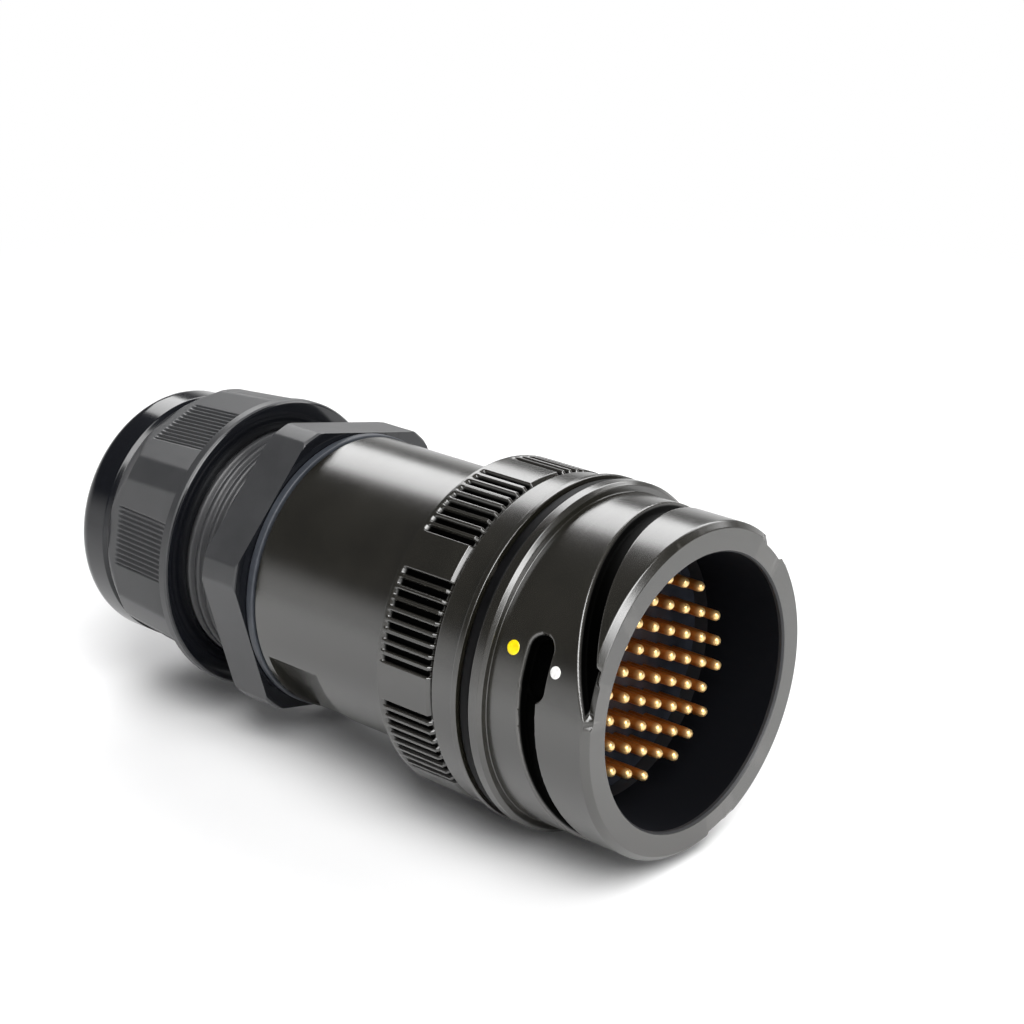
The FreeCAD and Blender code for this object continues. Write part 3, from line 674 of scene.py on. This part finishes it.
def row_tree():
    tree = bpy.data.node_groups.new("contact_row", "GeometryNodeTree")
    tree.interface.new_socket("Geometry", in_out="INPUT", socket_type="NodeSocketGeometry")
    for label, value in (("Row", 0.0), ("Pitch", 4.19), ("Reach", 3.62), ("Row angle", 64.4)):
        tree.interface.new_socket(label, in_out="INPUT", socket_type="NodeSocketFloat").default_value = value
    tree.interface.new_socket("Pin", in_out="INPUT", socket_type="NodeSocketObject")
    tree.interface.new_socket("Finish", in_out="INPUT", socket_type="NodeSocketMaterial")
    tree.interface.new_socket("Geometry", in_out="OUTPUT", socket_type="NodeSocketGeometry")
    entry = tree.nodes.new("NodeGroupInput")
    leave = tree.nodes.new("NodeGroupOutput")
    labels = ("Row", "Pitch", "Reach", "Row angle")
    row, pitch, reach, angle = (Wire(tree, entry.outputs[label]) for label in labels)
    line = tree.nodes.new("GeometryNodeMeshLine")
    line.inputs["Count"].default_value = LONGEST_ROW
    number = Wire(tree, tree.nodes.new("GeometryNodeInputIndex").outputs[0])
    along = number - LONGEST_ROW // 2 + row.math("FLOORED_MODULO", 2) * 0.5
    across = row * (math.sqrt(3) / 2)
    away = (along * along + across * across).math("SQRT")
    turn = angle * (math.pi / 180)
    side = turn.math("SINE")
    up = turn.math("COSINE")
    # The row runs along its angle; the rows follow each other at a right angle to it.
    y = (along * side - across * up) * pitch * -0.001
    z = (along * up + across * side) * pitch * 0.001
    joined = tree.nodes.new("ShaderNodeCombineXYZ")
    plug(tree, joined.inputs[1], y)
    plug(tree, joined.inputs[2], z)
    keep = tree.nodes.new("GeometryNodeDeleteGeometry")
    keep.domain = "POINT"
    plug(tree, keep.inputs["Selection"], away.math("GREATER_THAN", reach))
    move = tree.nodes.new("GeometryNodeSetPosition")
    source = tree.nodes.new("GeometryNodeObjectInfo")
    copies = tree.nodes.new("GeometryNodeInstanceOnPoints")
    real = tree.nodes.new("GeometryNodeRealizeInstances")
    paint_node = tree.nodes.new("GeometryNodeSetMaterial")
    # The points are placed before any is dropped, because dropping numbers the rest anew.
    for start, end in (
        (line.outputs[0], move.inputs["Geometry"]), (joined.outputs[0], move.inputs["Position"]),
        (move.outputs[0], keep.inputs["Geometry"]), (keep.outputs[0], copies.inputs["Points"]),
        (entry.outputs["Pin"], source.inputs["Object"]),
        (source.outputs["Geometry"], copies.inputs["Instance"]),
        (copies.outputs[0], real.inputs[0]), (real.outputs[0], paint_node.inputs["Geometry"]),
        (entry.outputs["Finish"], paint_node.inputs["Material"]), (paint_node.outputs[0], leave.inputs[0]),
    ):
        tree.links.new(start, end)
    return tree


contact_tree = row_tree()

# %% Nine rows of contacts
for number, row in enumerate(range(4, -5, -1), start=1):
    name = "contact_row_%d" % number
    carrier = added(name + "_dressed", bpy.data.meshes.new(name + "_dressed"))
    apply_tree(carrier, contact_tree, gold_finish, Row=float(row), Pin=pin)
    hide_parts(name)
    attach(carrier, "receptacle")
bpy.data.objects.remove(pin)

# %% [markdown]
# ## The grip ring
# Eight groups of nine grooves let fingers turn the ring. Real ones are milled one by one with a small
# round cutter, so each has soft edges and runs out at the rear. The rule folds the ring into one group,
# then folds the group into one groove.

# %% Finger grooves as a rule
GRIP = {
    "Groups": 8.0, "Middle": 68.5, "Step": 3.65, "Reach": 16.4, "Width": 0.95, "Depth": 0.75,
    "Stop": 38.2, "Edge": 0.14,
}
GRIP_RADIUS = 26.2


def finger_grooves(back, turn, out, named):
    period = 360 / GRIP["Groups"]
    within = (turn - named["Middle"] + period / 2).math("FLOORED_MODULO", period) - period / 2
    nearest = (within / named["Step"]).math("ROUND") * named["Step"]
    away = (within - nearest).size() * (math.pi / 180 * GRIP_RADIUS) - named["Width"] * 0.5
    groove = away.fade(named["Edge"] * -1, named["Edge"])
    group = within.size().fade(named["Reach"], named["Reach"] + 0.01)
    run = back.fade(named["Stop"] - 0.9, named["Stop"])
    return out - groove * group * run * named["Depth"]


grip_tree = carving("finger_grooves", GRIP, finger_grooves)

# %% Turn the grip ring and cut its grooves
grip_rows = rounded([
    (28.1, 24.15), (28.1, 25.1, 0.12), (28.98, 26.2, 0.15), (38.7, 26.2, 0.12), (39.2, 25.7, 0.12),
    (39.2, 22.45, 0.1), (37.9, 22.45), (37.9, 23.65), (28.6, 23.65),
])
grip_rows = more_rows(grip_rows, (37.1, 37.35, 37.6, 37.85, 38.1, 38.3), 26.1)
grip = turned("grip_ring_dressed", grip_rows, 1440, lambda back, out: out > 24.9 and back < 38.5, 4)
apply_tree(grip, grip_tree, grip_finish, **GRIP)
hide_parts("grip_ring")
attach(grip, "grip")

# %% [markdown]
# ## Flats
# A wrench flat is a plane that slices a round part, so its radius at any angle is half the distance
# across the flats divided by the cosine of the angle from the flat's middle. The piece keeps whichever is
# smaller, its round or its plane. A soft minimum rounds the edge between them.

# %% Flats as a rule
FLATS = {
    "Number": 2.0, "Middle": 131.0, "Half": 20.6, "Closing": 0.0, "Front": 56.9, "Back": 67.5, "Soft": 0.12,
}


def flats(back, turn, out, named):
    period = (named["Number"] / 360).math("POWER", -1)
    within = (turn - named["Middle"] + period * 0.5).math("FLOORED_MODULO", period) - period * 0.5
    share = ((back - named["Front"]) / (named["Back"] - named["Front"])).least(1).most(0)
    half = named["Half"] - named["Closing"] * share
    plane = half / (within * (math.pi / 180)).math("COSINE").most(0.2)
    cut = out.math("SMOOTH_MIN", plane, named["Soft"])
    inside = back.math("GREATER_THAN", named["Front"]) * back.math("LESS_THAN", named["Back"])
    return out + (cut - out) * inside


flats_tree = carving("flats", FLATS, flats)

# %% Backshell with two wrench flats
backshell_rows = rounded([
    (33.6, 17.6), (33.6, 21.6), (36.3, 21.6), (36.3, 23.2), (37.8, 23.2),
    (37.8, 22.2), (68.8, 22.2, 0.12), (69.3, 21.7, 0.12), (69.3, 18.6), (57.3, 18.6),
    (57.3, 17.6),
])
backshell_rows = more_rows(backshell_rows, (56.9, 67.5), 22.0, UPRIGHT)
backshell = turned("backshell_dressed", backshell_rows, 960, lambda back, out: back > 50 and out > 22, 3)
apply_tree(backshell, flats_tree, backshell_finish, **FLATS)
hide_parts("backshell")
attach(backshell, "backshell")

# %% Gland washer
washer = turned("gland_washer_dressed", rounded([
    (69.32, 18.6), (69.32, 22.45, 0.25), (70.68, 22.45, 0.25), (70.68, 18.6),
]), 320)
washer.data.materials.append(washer_finish)
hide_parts("gland_washer")
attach(washer, "backshell")

# %% [markdown]
# ## The gland body
# The hexagon uses the flats rule with six flats, on a disc whose rim cuts the corners off. Behind it the
# clamp thread is another rule: the ridge's height depends on the place along the axis less the share of
# the pitch that the angle has used up, which is what makes a helix.

# %% Thread ridges as a rule
THREAD = {"Root": 18.6, "Crest": 19.5, "Pitch": 2.0, "Front": 78.9, "Back": 92.6}


def thread(back, turn, out, named):
    phase = back / named["Pitch"] - turn / 360
    wave = (phase.math("FRACT") - 0.5).size() * 2
    ridge = wave.fade(0.30, 0.85)
    rear = back.fade(named["Back"] - 1.0, named["Back"])
    run = rear * (back * -1).fade(named["Front"] * -1 - 0.8, named["Front"] * -1)
    return named["Root"] + (named["Crest"] - named["Root"]) * ridge * run


thread_tree = carving("clamp_thread", THREAD, thread)

# %% Turn the gland body, then cut its flats and its thread
gland_rows = rounded([
    (58.7, 15.0), (58.7, 18.5), (70.7, 18.5), (70.7, 24.7, 0.1), (71.1, 25.1, 0.15),
    (77.9, 25.1, 0.15), (78.3, 24.7, 0.1), (78.3, 18.6), (93.0, 18.6),
    (93.0, 17.2), (79.6, 17.2), (79.6, 15.0),
])
gland_rows = divided(gland_rows, 78.4, 92.9, 0.19, 18.4)
HEX = {
    "Number": 6.0, "Middle": 46.0, "Half": 22.5, "Closing": 0.0, "Front": 70.0, "Back": 79.0, "Soft": 0.15,
}
gland = turned("gland_body_dressed", gland_rows, 720, lambda back, out: back > 70.6 and out > 18.55, 3)
apply_tree(gland, flats_tree, gland_finish, **HEX)
# The thread is cut only behind the hexagon and outside the bore, so the skin is marked anew, in metres.
HEXAGON_END, BORE = -0.0603, 0.0185
places = [vertex.co for vertex in gland.data.vertices]
clamp = [1.0 if math.hypot(co.y, co.z) > BORE and co.x < HEXAGON_END else 0.0 for co in places]
gland.data.attributes["skin"].data.foreach_set("value", clamp)
apply_tree(gland, thread_tree, gland_finish, **THREAD)
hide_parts("gland_body")
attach(gland, "backshell")

# %% [markdown]
# ## The dome nut
# A round collar, then six flats that lean in a little, each with a pad of fine ribs, and at the end a
# thick rounded lip round the cable hole. The flats use the same rule as before with some closing. The
# pads are shallow waves across the middle of each flat.

# %% Ribbed pads as a rule
PADS = {"Middle": 20.0, "Reach": 4.75, "Pitch": 0.82, "Depth": 0.32, "Front": 90.2, "Back": 103.2}


def pads(back, turn, out, named):
    period = 60
    within = (turn - named["Middle"] + period // 2).math("FLOORED_MODULO", period) - period // 2
    across = out * (within * (math.pi / 180)).math("SINE")
    wave = (across * (2 * math.pi) / named["Pitch"]).math("COSINE") * 0.5 + 0.5
    pad = across.size().fade(named["Reach"], named["Reach"] + 0.25)
    rear = back.fade(named["Back"] - 0.5, named["Back"])
    run = rear * (back * -1).fade(named["Front"] * -1 - 0.5, named["Front"] * -1)
    return out - wave * pad * run * named["Depth"]


pads_tree = carving("ribbed_pads", PADS, pads)

# %% Turn the nut, cut its flats and rib its pads
nut_rows = rounded([
    (87.3, 19.9), (87.3, 23.8, 0.12), (87.7, 24.2, 0.2), (89.0, 24.2), (101.7, 23.1, 0.6),
    (105.3, 21.0, 0.15), (105.3, 20.2, 0.1), (106.1, 20.2, 0.1), (106.7, 20.9, 0.25),
    (113.4, 20.9, 4.4), (113.4, 13.4, 1.6),
    (108.1, 13.4), (108.1, 15.2), (99.5, 17.6), (99.5, 19.75), (87.5, 19.75),
])
nut_rows = divided(nut_rows, 101.9, 105.2, 0.4, 21.0)
nut_rows = more_rows(nut_rows, (89.7, 89.95, 90.2, 92, 94, 96, 98, 100), 21.5)
nut_rows = more_rows(nut_rows, (88.95,), 24.1, UPRIGHT)
NUT = {
    "Number": 6.0, "Middle": 20.0, "Half": 21.9, "Closing": 1.2, "Front": 89.0, "Back": 105.3, "Soft": 0.25,
}
nut = turned("dome_nut_dressed", nut_rows, 1320, lambda back, out: 88.8 < back < 105.31 and out > 20.9, 4)
apply_tree(nut, flats_tree, nut_finish, **NUT)
apply_tree(nut, pads_tree, nut_finish, **PADS)
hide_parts("dome_nut")
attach(nut, "nut")

# %% [markdown]
# ## Hidden pieces
# What lies deep inside keeps its CAD mesh, since its shape is right, and only gets a finish.

# %% Finishes for the pieces that keep their CAD mesh
kept = {
    "contact_insert": insert_finish, "insert_retaining_ring": shell_finish,
    "backshell_o_ring": seal_finish, "clamping_cage": cage_finish, "cable_seal": inner_rubber,
}
for name, finish in kept.items():
    nodes[name].data.materials.clear()
    nodes[name].data.materials.append(finish)
print("kept CAD nodes:", len(kept))

# %% [markdown]
# ## Floor, light and camera
# Black gloss shows nothing but what it mirrors, so the surroundings draw the object. They are built in
# layers: a white floor that brightens the undersides, a thin white horizon, a dark sky that keeps the
# flanks black, a long light low behind for the streaks along the top, and two that stand in front of the
# mouth, where only faces that look forward mirror them.

# %% Floor
FLOOR_GAP = 0.0001
FLOOR_HALF = 4
GLOW_FULL, GLOW_NONE = 340, 110
low = cad_box[0].z - FLOOR_GAP
corners = [(x * FLOOR_HALF, y * FLOOR_HALF, low) for x, y in ((-1, -1), (1, -1), (1, 1), (-1, 1))]
floor_mesh = bpy.data.meshes.new("floor")
floor_mesh.from_pydata(corners, [], [[0, 1, 2, 3]])
floor = added("floor", floor_mesh)
floor_finish, tree, shader = new_finish("pale_floor", Roughness=0.7)
(x, y, _), vector = place_on(tree)
pale = tones(tree, noise(tree, vector, 0.02, 3), (0.3, (0.89, 0.89, 0.89)), (0.7, (0.93, 0.93, 0.93)))
plug(tree, shader.inputs["Base Color"], pale)
# Far from the part the floor glows white wherever it is looked at, and keeps its own shade near it.
along = x + 40
away = (along * along + y * y).math("SQRT")
path = tree.nodes.new("ShaderNodeLightPath")
seen = Wire(tree, path.outputs["Is Camera Ray"]).most(Wire(tree, path.outputs["Is Glossy Ray"]))
seen = seen.most(Wire(tree, path.outputs["Is Transmission Ray"]))
glow = tree.nodes.new("ShaderNodeEmission")
mixed = tree.nodes.new("ShaderNodeMixShader")
plug(tree, mixed.inputs[0], seen * away.fade(GLOW_FULL, GLOW_NONE))
tree.links.new(shader.outputs[0], mixed.inputs[1])
tree.links.new(glow.outputs[0], mixed.inputs[2])
tree.links.new(mixed.outputs[0], tree.nodes["Material Output"].inputs["Surface"])
floor_mesh.materials.append(floor_finish)

# %% World: white horizon under a dark sky
world = bpy.data.worlds.new("studio")
bpy.context.scene.world = world
world.use_nodes = True
tree = world.node_tree
direction = tree.nodes.new("ShaderNodeTexCoord")
apart = tree.nodes.new("ShaderNodeSeparateXYZ")
tree.links.new(direction.outputs["Generated"], apart.inputs[0])
height = Wire(tree, apart.outputs["Z"])
horizon = ((0.0, (0.95, 0.95, 0.95)), (0.05, (0.90, 0.90, 0.90)))
sky = ((0.24, (0.07, 0.07, 0.075)), (0.95, (0.10, 0.10, 0.105)))
shade = tones(tree, height, *horizon, *sky)
plug(tree, tree.nodes["Background"].inputs["Color"], shade)
tree.nodes["Background"].inputs["Strength"].default_value = 1.0


# %% Lamps
def soft_box(name, place, target, width, height, power):
    """A rectangular lamp in metres and watts that looks from its place at the target."""
    lamp = bpy.data.lights.new(name, "AREA")
    lamp.shape = "RECTANGLE"
    lamp.size, lamp.size_y = width, height
    lamp.energy = power
    holder = added(name, lamp)
    holder.location = place
    holder.rotation_mode = "QUATERNION"
    holder.rotation_quaternion = (Vector(target) - Vector(place)).to_track_quat("-Z", "Y")


soft_box("top_light", (-0.30, 0.62, 0.56), (-0.03, 0, 0), 1.3, 0.45, 8)
soft_box("fill_light", (0.50, -0.35, 0.85), (0, 0, 0), 0.8, 0.8, 15)
soft_box("mouth_light", (0.75, -0.20, 0.30), (0, 0, 0), 0.35, 0.35, 2.0)

# %% Camera at the photograph's viewing angle
FROM_RIM = Vector((0.18707, -0.25299, 0.14905))
FORWARD = Vector((-0.6162, 0.7002, -0.3605))
camera_data = bpy.data.cameras.new("camera")
camera_data.lens = 85
camera_data.sensor_width = 36
camera_data.clip_start = 0.01
camera_data.clip_end = 20
camera = added("camera", camera_data)
camera.location = spot(0, 0, 0) + FROM_RIM
camera.rotation_mode = "QUATERNION"
camera.rotation_quaternion = FORWARD.to_track_quat("-Z", "Y")
bpy.context.scene.camera = camera
bpy.context.scene.view_settings.view_transform = "Standard"
